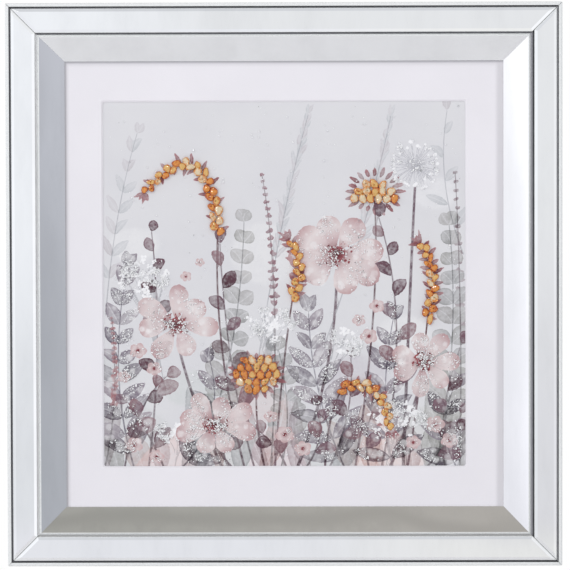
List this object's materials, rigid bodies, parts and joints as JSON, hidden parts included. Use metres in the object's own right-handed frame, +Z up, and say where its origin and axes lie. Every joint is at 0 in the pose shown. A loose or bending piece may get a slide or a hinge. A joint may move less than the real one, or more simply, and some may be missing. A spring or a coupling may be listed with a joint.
{
  "type": "mirrored picture frame with beaded flower panel",
  "caption": "Near-square wall picture frame faced with bevelled mirror strips, with a white mat and a printed flower panel set with amber chips and crushed glass.",
  "frame": {"origin": "middle of the flat back of the back board, which lies against the wall", "axes": "+Y out of the back towards the wall, -Y out of the front, +X to the right as seen from the front, +Z up"},
  "size_m": [0.55, 0.032, 0.558],
  "materials": {
    "black_board": "painted matt black",
    "mirror_glass": "polished silvered glass",
    "mat_board": "matt white board",
    "printed_board": "matt print on pale grey board",
    "grey_card": "uncoated card",
    "hardboard": "smooth pressed board",
    "zinc_steel": "zinc plated",
    "amber_resin": "glossy translucent",
    "clear_glass": "crushed, bright facets"
  },
  "bodies": {
    "root": {"amber_arching_spray": "amber_resin", "amber_bud_spray": "amber_resin", "amber_domed_head": "amber_resin", "amber_drooping_spray": "amber_resin", "amber_round_head": "amber_resin", "amber_side_spray": "amber_resin", "back_board": "hardboard", "backing_card": "grey_card", "board_screw_1": "zinc_steel", "board_screw_2": "zinc_steel", "board_screw_3": "zinc_steel", "board_screw_4": "zinc_steel", "board_screw_5": "zinc_steel", "board_screw_6": "zinc_steel", "board_screw_7": "zinc_steel", "board_screw_8": "zinc_steel", "core_rail_bottom": "black_board", "core_rail_left": "black_board", "core_rail_right": "black_board", "core_rail_top": "black_board", "crushed_glass_large_flower": "clear_glass", "crushed_glass_left_flower": "clear_glass", "crushed_glass_low_flower": "clear_glass", "crushed_glass_right_flower": "clear_glass", "crushed_glass_seed_head": "clear_glass", "face_mirror_bottom": "mirror_glass", "face_mirror_left": "mirror_glass", "face_mirror_right": "mirror_glass", "face_mirror_top": "mirror_glass", "hanger_plate_left": "zinc_steel", "hanger_plate_right": "zinc_steel", "hanger_screw_left_inner": "zinc_steel", "hanger_screw_left_outer": "zinc_steel", "hanger_screw_right_inner": "zinc_steel", "hanger_screw_right_outer": "zinc_steel", "mat": "mat_board", "picture_panel": "printed_board", "side_mirror_bottom": "mirror_glass", "side_mirror_left": "mirror_glass", "side_mirror_right": "mirror_glass", "side_mirror_top": "mirror_glass", "slope_mirror_bottom": "mirror_glass", "slope_mirror_left": "mirror_glass", "slope_mirror_right": "mirror_glass", "slope_mirror_top": "mirror_glass"}
  },
  "joints": []
}
